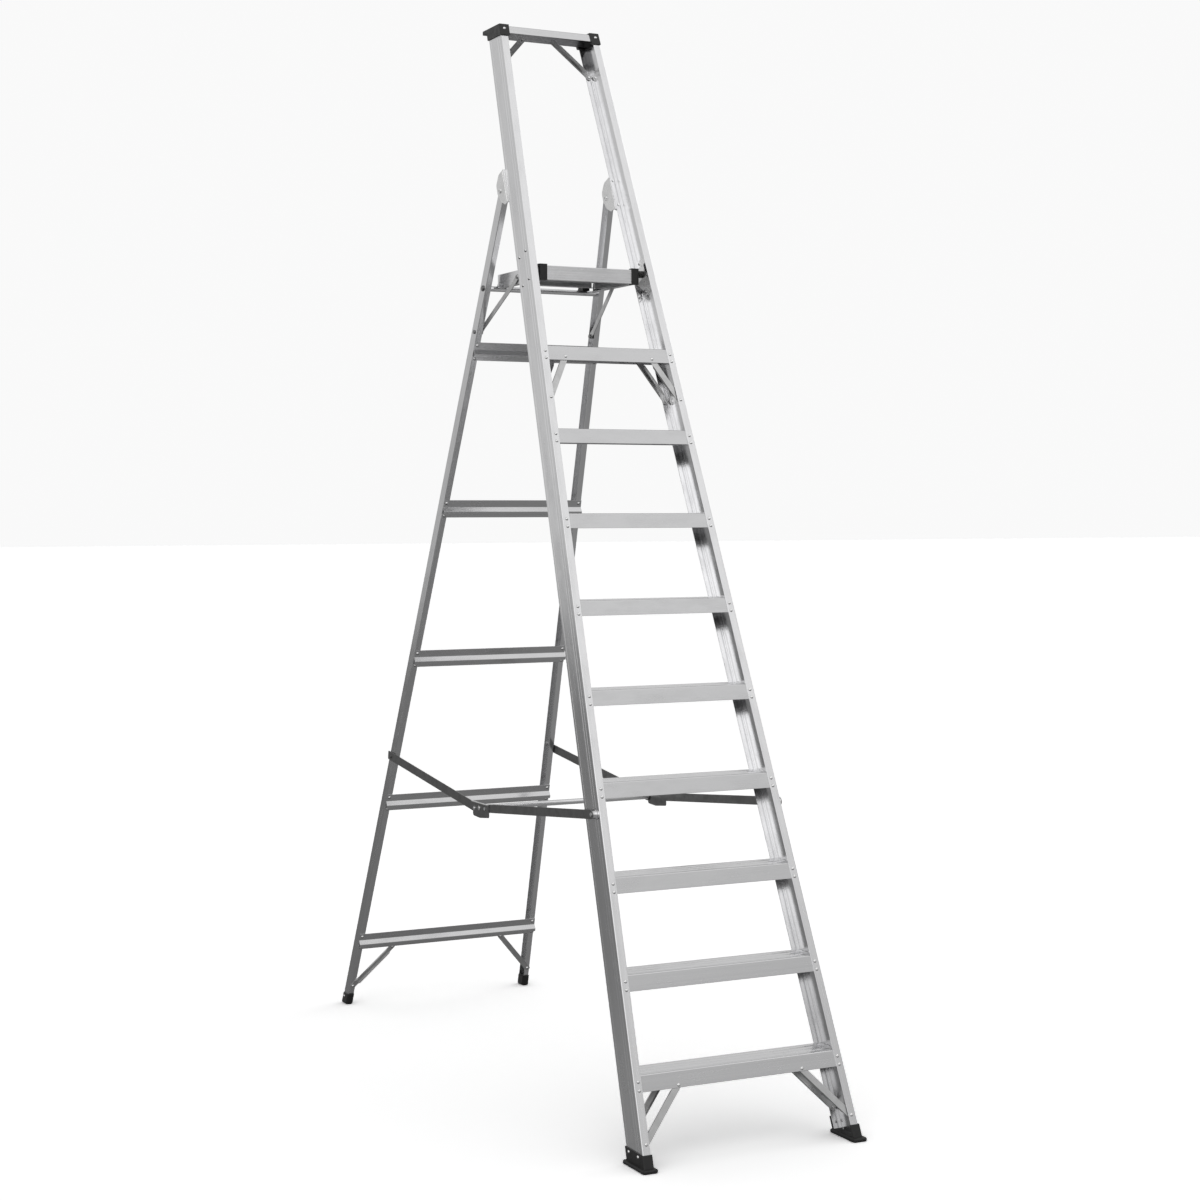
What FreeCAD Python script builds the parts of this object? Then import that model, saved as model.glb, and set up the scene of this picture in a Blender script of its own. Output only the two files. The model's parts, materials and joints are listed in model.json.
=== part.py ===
import FreeCAD, Part
import math
import os

# Four-legged aluminium platform stepladder with a guardrail bar and a folding rear frame.
# Millimetres. +X is the user's right when climbing, +Y runs from the treads to the rear frame, +Z is up.
# The origin is on the floor, at the centre of the ladder's outline.
# The ladder is symmetric about x = 0, so sided pieces are made on the +X side and mirrored.

V = FreeCAD.Vector

# Overall layout
STEP_SPACING = 290.0
TREAD_COUNT = 9
FRONT_FOOT_Y = -1320.3
FOOT_SPREAD = 2603.1
FRONT_LEAN = 0.3955
REAR_LEAN = 0.3771
FRONT_FLARE = 0.0517
REAR_FLARE = 0.0584
FRONT_HALF_WIDTH = 377.4
REAR_HALF_WIDTH = 408.0
STILE_BOTTOM_Z = 12.0
FRONT_STILE_TOP_Z = 3752.0
REAR_STILE_TOP_Z = 3196.0

# Front stile channel, measured from its rivet line
FRONT_DEPTH = 108.0
FRONT_OUT = 16.0
FRONT_IN = 11.5
FRONT_WALL = 2.5
GROOVE_DEPTH = 0.35
RIB_HEIGHT = 1.0
WEB_GROOVES = (20.0, 36.0, 92.0)

# Rear stile channel, measured from its outer face
REAR_DEPTH = 48.0
REAR_FLANGE = 22.0
REAR_WALL = 2.2
REAR_RIVET_IN = 11.0

# Treads
TREAD_DROP = 16.0
TREAD_HEIGHT = 50.0
TREAD_WALL = 2.5
TREAD_GROOVES = (22.0, 50.0, 78.0)
TREAD_RIVETS_BELOW_TOP = (18.0, 43.0)
TREAD_END_GAP = 1.5

# Rivets
SHANK_R = 2.5
HEAD_R = 5.8
HEAD_HEIGHT = 3.2
TAIL_R = 4.2
TAIL_HEIGHT = 2.2

# Struts under the lowest and the highest tread
BRACE_WIDTH = 22.0
BRACE_WALL = 1.6
BRACE_LIP = 8.0
BRACE_PAD = 30.0
STRAP_GAP = 0.3
BRACED_TREADS = {1: (139.7, 36.0, 77.5), 9: (76.0, 34.0, 2411.5)}

# Fold hinge of the rear frame
TOP_PIVOT_DEEP = 161.0
TOP_PIVOT_Z = 3176.0
TOP_LEAF_X = 228.2
TOP_LEAF_WALL = 3.0
INNER_LEAF_X = 195.9
INNER_LEAF_WALL = 2.8
PIVOT_HEAD_R = 9.0
PIVOT_BORE_R = 3.0

# Pivot pins
PIN_R = 5.0
RUNNING_GAP = 0.05
WASHER_R = 8.0

# Platform
PLATFORM_FRONT_Y = 1166.0
PLATFORM_BACK_Y = 1530.0
PLATFORM_TOP_Z = 2886.0
PLATFORM_HEIGHT = 50.0
PLATFORM_HALF_WIDTH = 195.0
PLATFORM_CAP_WIDTH = 28.0
REAR_BAR_DROP = 34.0
PLATFORM_PIVOT = (1180.0, 2872.0)
PLANK_COUNT = 4
BUSH_R = 12.5
CATCH_X = 165.0

# Catch tube between the rear stiles
TUBE_R = 10.0
TUBE_DEEP = 22.5
TUBE_Z = 2837.0
TUBE_HEAD_R = 11.0

# Stays between the platform and the rear frame
STAY_TOP = (1350.0, 2861.0)
STAY_FOOT_DEEP = 23.5
STAY_FOOT_Z = 2682.0
STAY_TOP_X = 197.0
STAY_FOOT_X = 224.0
STAY_WIDTH = 20.0
STAY_WALL = 3.0

# Spreaders outside the stiles
SPREADER_FRONT_DEEP = 29.0
SPREADER_FRONT_Z = 1045.0
SPREADER_REAR_DEEP = 27.5
SPREADER_REAR_Z = 1056.0
SPREADER_FRONT_LENGTH = 948.0
SPREADER_REAR_LENGTH = 852.5
FRONT_ARM_WIDTH = 30.0
REAR_ARM_WIDTH = 33.0
REAR_ARM_TAIL = 28.0
ARM_NOSE = 9.0
SPREADER_SPACER_R = 14.0
SPREADER_WALL = 3.0
REAR_ARM_X = 348.7
FRONT_ARM_X = 352.7
ROD_R = 10.0

# Rear rails
RAIL_LEDGES_Z = (274.3, 866.2, 1450.0, 2030.0, 2610.0)
RAIL_WALL = 2.0
RAIL_RIVET_OFFSETS = (24.0, -26.5)

# Guardrail
GUARDRAIL_TOP_Z = 3785.0
GUARDRAIL_LIP = 28.0
GUARDRAIL_BRACE_FOOT_Z = 3637.0
CAP_TOP_Z = 3790.0
CAP_IN = 18.0
CAP_OUT = 20.0

# Moulded feet
SHOE_TOP_Z = 50.0
SOLE_HEIGHT = 12.0
REAR_FOOT_TOP_Z = 45.0


# ---------------------------------------------------------------- outlines and placements

def outline(points):
    """Closed wire through 2D points (u, v) or (u, v, radius); a radius rounds that corner."""
    spans = []
    for here, before, after in zip(points, points[-1:] + points[:-1], points[1:] + points[:1]):
        corner = V(here[0], here[1], 0)
        radius = here[2] if len(here) > 2 else 0
        if radius == 0:
            spans.append((corner, None, corner))
            continue
        back = (V(before[0], before[1], 0) - corner).normalize()
        ahead = (V(after[0], after[1], 0) - corner).normalize()
        half_angle = back.getAngle(ahead) / 2
        reach = radius / math.tan(half_angle)
        bisector = (back + ahead).normalize()
        middle = corner + bisector * (radius / math.sin(half_angle) - radius)
        spans.append((corner + back * reach, middle, corner + ahead * reach))
    edges = []
    for (start, middle, end), (following, _, _) in zip(spans, spans[1:] + spans[:1]):
        if middle is not None:
            edges.append(Part.Arc(start, middle, end).toShape())
        if end.distanceToPoint(following) > 1e-6:
            edges.append(Part.LineSegment(end, following).toShape())
    return Part.Wire(edges)


def prism(points, length, start=0.0):
    """Outline in the local XY plane, extruded along local Z."""
    solid = Part.Face(outline(points)).extrude(V(0, 0, length))
    solid.translate(V(0, 0, start))
    return solid


def placed(shape, origin, x_axis, y_axis):
    """The shape with its local origin and local X and Y axes moved to the given ones."""
    x_axis = V(x_axis).normalize()
    z_axis = x_axis.cross(y_axis).normalize()
    turn = FreeCAD.Rotation(x_axis, z_axis.cross(x_axis), z_axis, "ZXY")
    return shape.transformed(FreeCAD.Placement(origin, turn).toMatrix())


def side_plate(points, x_start, thickness):
    """Outline in the YZ plane, extruded along +X from x_start."""
    return placed(prism(points, thickness), V(x_start, 0, 0), V(0, 1, 0), V(0, 0, 1))


def cross_bar(points, half_length):
    """Outline in the YZ plane, extruded along X and centred on the ladder."""
    return side_plate(points, -half_length, 2 * half_length)


def rod_x(centre, x_start, x_end, radius):
    """Round rod along X through centre = (y, z)."""
    return Part.makeCylinder(radius, x_end - x_start, V(x_start, centre[0], centre[1]), V(1, 0, 0))


def mirrored(shape):
    return shape.mirror(V(0, 0, 0), V(1, 0, 0))


def both_sides(shapes):
    """Group of separate solids: the given ones and their mirror images."""
    return Part.makeCompound(list(shapes) + [mirrored(shape) for shape in shapes])


def fused(shapes):
    return shapes[0].fuse(shapes[1:]).removeSplitter()


def circle_meeting(first, first_radius, second, second_radius):
    """The lower meeting point of two circles in the YZ plane."""
    gap = V(0, second[0] - first[0], second[1] - first[1])
    distance = gap.Length
    along = (distance ** 2 + first_radius ** 2 - second_radius ** 2) / (2 * distance)
    off = math.sqrt(first_radius ** 2 - along ** 2)
    unit = gap.normalize()
    return (first[0] + along * unit.y + off * unit.z, first[1] + along * unit.z - off * unit.y)


# ---------------------------------------------------------------- the two leaning frames

class LeaningSide:
    """Local axes of one right-hand stile: across (outward), deep (backward) and along (up the stile)."""

    def __init__(self, half_width, foot_y, lean, flare):
        self.foot = V(half_width, foot_y, 0)
        self.lean = math.atan(lean)
        self.slope = lean
        self.flare = flare
        tilt = math.atan(flare * math.cos(self.lean))
        plane_up = V(0, math.sin(self.lean), math.cos(self.lean))
        self.along = plane_up * math.cos(tilt) - V(1, 0, 0) * math.sin(tilt)
        self.across = V(1, 0, 0) * math.cos(tilt) + plane_up * math.sin(tilt)
        self.deep = self.along.cross(self.across)

    def half_width(self, z):
        return self.foot.x - self.flare * z

    def face_y(self, z):
        """Y of the frame's front face at height z."""
        return self.foot.y + self.slope * z

    def point(self, across, deep, along):
        return self.foot + self.across * across + self.deep * deep + self.along * along

    def along_at(self, z, deep=0.0):
        """Distance up the stile at which a point this deep has height z."""
        return (z - self.deep.z * deep) / self.along.z

    def x_at(self, across, centre):
        """X at which the plane at this distance across passes through centre = (y, z)."""
        level = self.foot.dot(self.across) + across
        return (level - centre[0] * self.across.y - centre[1] * self.across.z) / self.across.x

    def pivot(self, deep, z):
        """(y, z) of a point this far behind the frame's front face at height z."""
        return (self.face_y(z) + deep / math.cos(self.lean), z)

    def place(self, shape):
        return placed(shape, self.foot, self.across, self.deep)


def frame_interior(side, across):
    """Solid between the two stiles of a frame, bounded by the planes at this distance across."""
    low = side.point(across, -60, -200)
    high = side.point(across, -60, 4500)
    corners = [low, high, V(-high.x, high.y, high.z), V(-low.x, low.y, low.z), low]
    return Part.Face(Part.makePolygon(corners)).extrude(side.deep * 300)


def upright_slab(x_start, x_end):
    return Part.makeBox(x_end - x_start, 6000, 5000, V(x_start, -3000, -500))


def height_band(bottom, top):
    return Part.makeBox(3000, 6000, top - bottom, V(-1500, -3000, bottom))


FRONT = LeaningSide(FRONT_HALF_WIDTH, FRONT_FOOT_Y, FRONT_LEAN, FRONT_FLARE)
REAR = LeaningSide(REAR_HALF_WIDTH, FRONT_FOOT_Y + FOOT_SPREAD, -REAR_LEAN, REAR_FLARE)

# Pivot centres as (y, z)
TOP_PIVOT = FRONT.pivot(TOP_PIVOT_DEEP, TOP_PIVOT_Z)
DECK_PIVOT = (FRONT_FOOT_Y + PLATFORM_PIVOT[0], PLATFORM_PIVOT[1])
STAY_TOP_PIVOT = (FRONT_FOOT_Y + STAY_TOP[0], STAY_TOP[1])
STAY_FOOT_PIVOT = REAR.pivot(STAY_FOOT_DEEP, STAY_FOOT_Z)
TUBE_CENTRE = REAR.pivot(TUBE_DEEP, TUBE_Z)
ARM_FRONT_PIVOT = FRONT.pivot(SPREADER_FRONT_DEEP, SPREADER_FRONT_Z)
ARM_REAR_PIVOT = REAR.pivot(SPREADER_REAR_DEEP, SPREADER_REAR_Z)
ARM_HINGE = circle_meeting(ARM_FRONT_PIVOT, SPREADER_FRONT_LENGTH, ARM_REAR_PIVOT, SPREADER_REAR_LENGTH)


# ---------------------------------------------------------------- fasteners

def rivet(base, inward, grip, head_r=HEAD_R):
    """Domed rivet: its head sits on base, its shank runs inward through the grip to a flat tail."""
    arc_side = V(head_r * 0.72, 0, -HEAD_HEIGHT * 0.74)
    head = Part.Arc(V(0, 0, -HEAD_HEIGHT), arc_side, V(head_r, 0, 0)).toShape()
    corners = [
        V(head_r, 0, 0), V(SHANK_R, 0, 0), V(SHANK_R, 0, grip), V(TAIL_R, 0, grip),
        V(TAIL_R, 0, grip + TAIL_HEIGHT), V(0, 0, grip + TAIL_HEIGHT), V(0, 0, -HEAD_HEIGHT),
    ]
    lines = [Part.LineSegment(a, b).toShape() for a, b in zip(corners, corners[1:])]
    half = Part.Face(Part.Wire([head] + lines))
    solid = half.revolve(V(0, 0, 0), V(0, 0, 1), 360)
    turn = FreeCAD.Rotation(V(0, 0, 1), inward)
    return solid.transformed(FreeCAD.Placement(base, turn).toMatrix())


class Riveting:
    """Rivets of one frame: the solids for one shared node, and the holes that they need."""

    def __init__(self):
        self.pieces = []

    def add(self, base, inward, grip, head_r=HEAD_R):
        piece = rivet(base, inward, grip, head_r)
        self.pieces += [piece, mirrored(piece)]

    def solids(self):
        return Part.makeCompound(self.pieces)

    def drill(self, shape):
        """The shape with a hole for each rivet that meets its bounding box."""
        near = [piece for piece in self.pieces if piece.BoundBox.intersect(shape.BoundBox)]
        return shape.cut(near) if near else shape


def pin(centre, stations):
    """Turned pin along X, from (x, radius) stations: each radius runs on to the next station."""
    parts = []
    for (x_start, radius), (x_end, _) in zip(stations, stations[1:]):
        parts.append(rod_x(centre, x_start, x_end, radius))
    return fused(parts)


def pin_hole(centre, x_start, x_end):
    return rod_x(centre, x_start, x_end, PIN_R + RUNNING_GAP)


# ---------------------------------------------------------------- front frame

def rib_points(deep_centres, across, height, half_width=2.5, slope=0.8):
    """Low ribs on a face at constant across, listed with falling deep and standing towards lower across."""
    points = []
    for centre in reversed(deep_centres):
        points.append((across, centre + half_width + slope))
        points.append((across - height, centre + half_width))
        points.append((across - height, centre - half_width))
        points.append((across, centre - half_width - slope))
    return points


def groove_points(deep_centres, across, depth, half_width=1.5, slope=2.0):
    """Shallow grooves on a face at constant across, listed with rising deep."""
    points = []
    for centre in deep_centres:
        points.append((across, centre - half_width - slope))
        points.append((across - depth, centre - half_width))
        points.append((across - depth, centre + half_width))
        points.append((across, centre + half_width + slope))
    return points


def front_stile():
    """Channel open towards the ladder's middle, grooved down its web and ribbed inside it."""
    inner = FRONT_OUT - FRONT_WALL
    section = [(-FRONT_IN, 0, 1.0), (FRONT_OUT, 0, 3.0)]
    section += groove_points(WEB_GROOVES, FRONT_OUT, GROOVE_DEPTH)
    section += [(FRONT_OUT, FRONT_DEPTH, 3.0), (-FRONT_IN, FRONT_DEPTH, 1.0)]
    section += [(-FRONT_IN, FRONT_DEPTH - FRONT_WALL, 1.0), (inner, FRONT_DEPTH - FRONT_WALL, 1.0)]
    section += rib_points(WEB_GROOVES, inner, RIB_HEIGHT)
    section += [(inner, FRONT_WALL, 1.0), (-FRONT_IN, FRONT_WALL, 1.0)]
    channel = FRONT.place(prism(section, 4300, -100))
    return channel.common(height_band(STILE_BOTTOM_Z, FRONT_STILE_TOP_Z))


def leaning_channel(face_y, top_z, run, height, wall, grooves=()):
    """Section of a step: flat top between two lips that lean with the front frame."""
    flat = wall / math.cos(FRONT.lean)
    lean = FRONT.slope
    section = [(face_y - lean * height, top_z - height, 0.8), (face_y, top_z, 5.0)]
    for centre in grooves:
        section += [(face_y + centre - 6.0, top_z), (face_y + centre - 5.2, top_z - 1.2)]
        section += [(face_y + centre + 5.2, top_z - 1.2), (face_y + centre + 6.0, top_z)]
    section += [(face_y + run, top_z, 3.0), (face_y + run - lean * height, top_z - height, 0.8)]
    section += [(face_y + run - lean * height - flat, top_z - height, 0.8)]
    section += [(face_y + run - flat - lean * wall, top_z - wall, 1.2)]
    section += [(face_y + flat - lean * wall, top_z - wall, 1.2)]
    section += [(face_y + flat - lean * height, top_z - height, 0.8)]
    return section


def tread(number):
    """Step between the stile webs, its lips riveted to the front and rear stile flanges."""
    top = STEP_SPACING * number - TREAD_DROP
    face = FRONT.face_y(top) + FRONT_WALL / math.cos(FRONT.lean)
    run = (FRONT_DEPTH - 2 * FRONT_WALL) / math.cos(FRONT.lean)
    section = leaning_channel(face, top, run, TREAD_HEIGHT, TREAD_WALL, TREAD_GROOVES)
    bar = cross_bar(section, FRONT_HALF_WIDTH + FRONT_OUT)
    return bar.common(frame_interior(FRONT, FRONT_OUT - FRONT_WALL - TREAD_END_GAP))


def strut(start, end, face_normal, end_packing):
    """Pressed strut: a shallow channel with flat rounded ends; the last end is packed out to its flange."""
    run = end - start
    length = run.Length
    half = BRACE_WIDTH / 2
    corners = [(-half, -half, 9), (length + half, -half, 9), (length + half, half, 9), (-half, half, 9)]
    base = prism(corners, BRACE_WALL)
    lips = [(BRACE_PAD - 12, 0), (length - BRACE_PAD + 12, 0)]
    lips += [(length - BRACE_PAD, BRACE_LIP, 3), (BRACE_PAD, BRACE_LIP, 3)]
    lip = placed(prism(lips, BRACE_WALL), V(0, half, 0), V(1, 0, 0), V(0, 0, 1))
    other_lip = placed(prism(lips, BRACE_WALL), V(0, BRACE_WALL - half, 0), V(1, 0, 0), V(0, 0, 1))
    packing = Part.makeCylinder(half - 1, end_packing, V(length, 0, -end_packing))
    solid = fused([base, lip, other_lip, packing])
    return placed(solid, start, run, face_normal.cross(run))


def tread_brace_ends(number, deep):
    """Rivet points (across, along) of one strut at this depth: on the tread's lip and on the stile."""
    inset, below_top, stile_z = BRACED_TREADS[number]
    lip_z = STEP_SPACING * number - TREAD_DROP - below_top
    return (-inset, FRONT.along_at(lip_z, deep)), (0.0, FRONT.along_at(stile_z, deep))


def tread_braces(number):
    """Front and rear struts on both sides, from the tread's lips down to the stile flanges."""
    behind_lip = FRONT_WALL + TREAD_WALL
    struts = []
    for deep, towards_middle in ((behind_lip, 1), (FRONT_DEPTH - behind_lip, -1)):
        (lip_across, lip_along), (foot_across, foot_along) = tread_brace_ends(number, deep)
        start = FRONT.point(lip_across, deep, lip_along)
        end = FRONT.point(foot_across, deep, foot_along)
        struts.append(strut(start, end, FRONT.deep * towards_middle, TREAD_WALL))
    return both_sides(struts)


def front_shoe():
    """Rubber shoe wrapped round the stile's foot, open inside, on a flared sole."""
    wrap = [(-FRONT_IN - 4, -4, 3), (FRONT_OUT + 4, -4, 4), (FRONT_OUT + 4, FRONT_DEPTH + 4, 4)]
    wrap += [(-FRONT_IN - 4, FRONT_DEPTH + 4, 3)]
    wall = FRONT.place(prism(wrap, 300, -150)).common(height_band(0, SHOE_TOP_Z))
    inside = FRONT_OUT - 1
    opening = [(-FRONT_IN - 9, 1), (inside, 1), (inside, FRONT_DEPTH - 1), (-FRONT_IN - 9, FRONT_DEPTH - 1)]
    cavity = FRONT.place(prism(opening, 300, -150)).common(height_band(STILE_BOTTOM_Z + 1, SHOE_TOP_Z + 1))
    x_in = FRONT_HALF_WIDTH - FRONT_IN - 13
    x_out = FRONT_HALF_WIDTH + FRONT_OUT + 13
    y_front = FRONT_FOOT_Y - 15
    y_back = FRONT_FOOT_Y + FRONT_DEPTH / math.cos(FRONT.lean) + 16
    sole_outline = [(x_in, y_front, 10), (x_out, y_front, 10), (x_out, y_back, 10), (x_in, y_back, 10)]
    sole = prism(sole_outline, SOLE_HEIGHT)
    rims = [edge for edge in sole.Edges if edge.BoundBox.ZLength < 0.01]
    sole = sole.makeChamfer(3.0, rims)
    shoe = fused([wall, sole]).cut(cavity)
    for row in range(5):
        shoe = shoe.cut(Part.makeBox(80, 5, 1.5, V(x_in + 3, y_front + 22 + 24 * row, 0)))
    return shoe


def guardrail_face_y():
    return FRONT.face_y(GUARDRAIL_TOP_Z) + 1.0


def guardrail_run():
    return FRONT_DEPTH / math.cos(FRONT.lean) - 3.0


def guardrail_section():
    face = guardrail_face_y()
    return leaning_channel(face, GUARDRAIL_TOP_Z, guardrail_run(), GUARDRAIL_LIP, TREAD_WALL)


def guardrail_bar():
    """Step-like channel across the top, its ends inside the corner caps."""
    half = FRONT.half_width(GUARDRAIL_TOP_Z) + 12
    return cross_bar(guardrail_section(), half)


def guardrail_cap():
    """Moulded corner over the stile's top and the bar's end, with a nose at the back."""
    top_along = FRONT.along_at(CAP_TOP_Z)
    shell = [(-CAP_IN, -4, 2), (CAP_OUT, -4, 4), (CAP_OUT, FRONT_DEPTH + 6, 4), (-CAP_IN, FRONT_DEPTH + 6, 2)]
    body = FRONT.place(prism(shell, 400, top_along - 200)).common(height_band(3748, CAP_TOP_Z))
    nose_back = FRONT.face_y(CAP_TOP_Z) + (FRONT_DEPTH + 33) / math.cos(FRONT.lean)
    nose_front = FRONT.face_y(CAP_TOP_Z) + 40
    nose_points = [(nose_front, CAP_TOP_Z), (nose_back, CAP_TOP_Z, 3), (nose_back, CAP_TOP_Z - 15, 4)]
    nose_points += [(nose_front, CAP_TOP_Z - 15)]
    inner_x = FRONT.half_width(CAP_TOP_Z) - CAP_IN + 4
    nose = side_plate(nose_points, inner_x, 32)
    bar_outline = guardrail_section()[:4]
    bar_space = side_plate(bar_outline, 0, FRONT.half_width(GUARDRAIL_TOP_Z) + 12)
    under = [(-60, 9), (FRONT_OUT - FRONT_WALL - 3, 9), (FRONT_OUT - FRONT_WALL - 3, FRONT_DEPTH - 9)]
    under += [(-60, FRONT_DEPTH - 9)]
    under_space = FRONT.place(prism(under, 400, top_along - 200)).common(height_band(3700, 3760))
    return fused([body, nose]).cut([bar_space, under_space])


def guardrail_lip_deep():
    """Depth of the guardrail's rear lip, at its back face."""
    return (1.0 + guardrail_run()) * math.cos(FRONT.lean)


def guardrail_brace_ends():
    """Rivet points (across, along) of a strut: on the guardrail's rear lip and on the stile's rear flange."""
    deep = guardrail_lip_deep() - TREAD_WALL
    high = (64 - FRONT.half_width(GUARDRAIL_TOP_Z), FRONT.along_at(GUARDRAIL_TOP_Z - 17, deep))
    low = (0.0, FRONT.along_at(GUARDRAIL_BRACE_FOOT_Z, deep))
    return high, low


def guardrail_braces():
    deep = guardrail_lip_deep() - TREAD_WALL
    (high_across, high_along), (low_across, low_along) = guardrail_brace_ends()
    start = FRONT.point(high_across, deep, high_along)
    end = FRONT.point(low_across, deep, low_along)
    return both_sides([strut(start, end, FRONT.deep * -1, FRONT_DEPTH - FRONT_WALL - deep)])


def pivot_leaf_outline():
    """Rounded outline in the YZ plane, from the stile's rear flange to behind the fold hinge."""
    fold_y, fold_z = TOP_PIVOT
    lean = FRONT.lean

    def local(back, up):
        """(y, z) from an offset behind and up the stile, seen from the fold hinge."""
        y = fold_y + back * math.cos(lean) + up * math.sin(lean)
        return (y, fold_z - back * math.sin(lean) + up * math.cos(lean))

    flange_back = FRONT_DEPTH - TOP_PIVOT_DEEP
    return [
        local(flange_back, -72), local(-22, -67) + (10,), local(7, -40) + (14,), local(22, -4) + (20,),
        local(21, 32) + (20,), local(-10, 58) + (22,), local(flange_back, 58),
    ]


def pivot_bracket():
    """Bent bracket: a seat on the stile's rear flange between two leaves that carry the fold hinge."""
    centre = FRONT.along_at(TOP_PIVOT_Z, TOP_PIVOT_DEEP)
    outside = TOP_LEAF_X + TOP_LEAF_WALL
    seat_outline = [(-40, FRONT_DEPTH), (40, FRONT_DEPTH), (40, FRONT_DEPTH + 3), (-40, FRONT_DEPTH + 3)]
    seat = FRONT.place(prism(seat_outline, 130, centre - 72))
    seat = seat.common(upright_slab(INNER_LEAF_X, outside))
    outer_leaf = side_plate(pivot_leaf_outline(), TOP_LEAF_X, TOP_LEAF_WALL)
    inner_leaf = side_plate(pivot_leaf_outline(), INNER_LEAF_X, INNER_LEAF_WALL)
    near, far = FRONT_DEPTH + 8, FRONT_DEPTH + 12
    ridge = FRONT.place(prism([(0, near), (60, near), (60, far), (0, far)], 122, centre - 68))
    ridge = ridge.common(upright_slab(TOP_LEAF_X, outside + 1.2))
    bracket = fused([seat, outer_leaf, inner_leaf, ridge])
    return bracket.cut(rod_x(TOP_PIVOT, INNER_LEAF_X - 1, outside + 2, PIN_R))


def top_pivot_pin():
    """Hollow-headed pin through both leaves, with spacers on each side of the rear stile's web."""
    web_x = REAR.x_at(0, TOP_PIVOT)
    outside = TOP_LEAF_X + TOP_LEAF_WALL
    stations = [(INNER_LEAF_X - 3, PIVOT_HEAD_R), (INNER_LEAF_X, PIN_R)]
    stations += [(INNER_LEAF_X + INNER_LEAF_WALL, 7.5)]
    stations += [(web_x - REAR_WALL - 0.8, PIN_R), (web_x + 0.8, WASHER_R), (TOP_LEAF_X, PIN_R)]
    stations += [(outside, PIVOT_HEAD_R), (outside + 3, 0)]
    bores = [rod_x(TOP_PIVOT, outside - 3, outside + 4, PIVOT_BORE_R)]
    bores.append(rod_x(TOP_PIVOT, INNER_LEAF_X - 4, INNER_LEAF_X + 3, PIVOT_BORE_R))
    return pin(TOP_PIVOT, stations).cut(bores)


def bracket_centre():
    return FRONT.along_at(PLATFORM_PIVOT[1]) + 23.0


def platform_bracket():
    """Hat-shaped bracket on the stile's web, its crown carrying the platform hinge."""
    web = FRONT_OUT - FRONT_WALL
    foot, bend, crown = 66.0, 44.0, 20.0
    section = [(web, -foot), (web, -bend), (-9, -crown), (-9, crown), (web, bend), (web, foot)]
    section += [(web - 3, foot), (web - 3, bend + 1), (-12, crown + 1), (-12, -crown - 1)]
    section += [(web - 3, -bend - 1), (web - 3, -foot)]
    flat = prism(section, 74)
    turned = placed(flat, V(0, 90, bracket_centre()), V(1, 0, 0), V(0, 0, 1))
    hole = rod_x(DECK_PIVOT, 200, 240, PIN_R)
    return FRONT.place(turned).cut(hole)


def platform_pivot_pin():
    crown_x = FRONT.x_at(-12, DECK_PIVOT)
    web_x = PLATFORM_HALF_WIDTH - 2.5
    stations = [(web_x - 6, WASHER_R), (web_x - 0.4, PIN_R), (crown_x + 3.6, WASHER_R), (crown_x + 8, 0)]
    return pin(DECK_PIVOT, stations)


def spreader_front_pin():
    """Pin through the stile's web, with a stepped spacer that holds the arm off the web."""
    web_x = FRONT.x_at(FRONT_OUT, ARM_FRONT_PIVOT)
    spacer = [(web_x + 0.6, SPREADER_SPACER_R), (web_x + 4.6, SPREADER_SPACER_R - 3)]
    stations = [(web_x - 8.0, WASHER_R), (web_x - 5.2, PIN_R)] + spacer + [(FRONT_ARM_X - 0.3, PIN_R)]
    stations += [(FRONT_ARM_X + SPREADER_WALL + 0.3, WASHER_R - 1.5), (FRONT_ARM_X + SPREADER_WALL + 2.2, 0)]
    return pin(ARM_FRONT_PIVOT, stations)


def add_tread_rivets(work):
    """Two rivets at each corner of each tread, through the stile's front and rear flanges."""
    grip = FRONT_WALL + TREAD_WALL
    for number in range(1, TREAD_COUNT + 1):
        for below in TREAD_RIVETS_BELOW_TOP:
            z = STEP_SPACING * number - TREAD_DROP - below
            work.add(FRONT.point(0, 0, FRONT.along_at(z)), FRONT.deep, grip)
            along = FRONT.along_at(z, FRONT_DEPTH)
            work.add(FRONT.point(0, FRONT_DEPTH, along), FRONT.deep * -1, grip)


def add_brace_rivets(work):
    """One rivet at each end of each tread strut and guardrail strut."""
    behind_lip = FRONT_WALL + TREAD_WALL
    for number in BRACED_TREADS:
        for face, inward in ((0, 1), (FRONT_DEPTH, -1)):
            brace_deep = face + inward * behind_lip
            (lip_across, lip_along), (foot_across, foot_along) = tread_brace_ends(number, brace_deep)
            lip_face = FRONT.point(lip_across, face + inward * FRONT_WALL, lip_along)
            work.add(lip_face, FRONT.deep * inward, TREAD_WALL + BRACE_WALL)
            foot_face = FRONT.point(foot_across, face, foot_along)
            work.add(foot_face, FRONT.deep * inward, behind_lip + BRACE_WALL)
    (high_across, high_along), (low_across, low_along) = guardrail_brace_ends()
    lip_deep = guardrail_lip_deep()
    work.add(FRONT.point(high_across, lip_deep, high_along), FRONT.deep * -1, TREAD_WALL + BRACE_WALL)
    foot_grip = FRONT_DEPTH - lip_deep + TREAD_WALL + BRACE_WALL
    work.add(FRONT.point(low_across, FRONT_DEPTH, low_along), FRONT.deep * -1, foot_grip)


def add_bracket_rivets(work):
    """Rivets of the fold brackets and of the platform brackets."""
    centre = FRONT.along_at(TOP_PIVOT_Z, TOP_PIVOT_DEEP)
    for offset in (-56, 43):
        work.add(FRONT.point(0, FRONT_DEPTH + 3, centre + offset), FRONT.deep * -1, FRONT_WALL + 3)
    for offset in (-55, 55):
        for deep in (25, 79):
            base = FRONT.point(FRONT_OUT, deep, bracket_centre() + offset)
            work.add(base, FRONT.across * -1, FRONT_WALL + 3)


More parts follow.
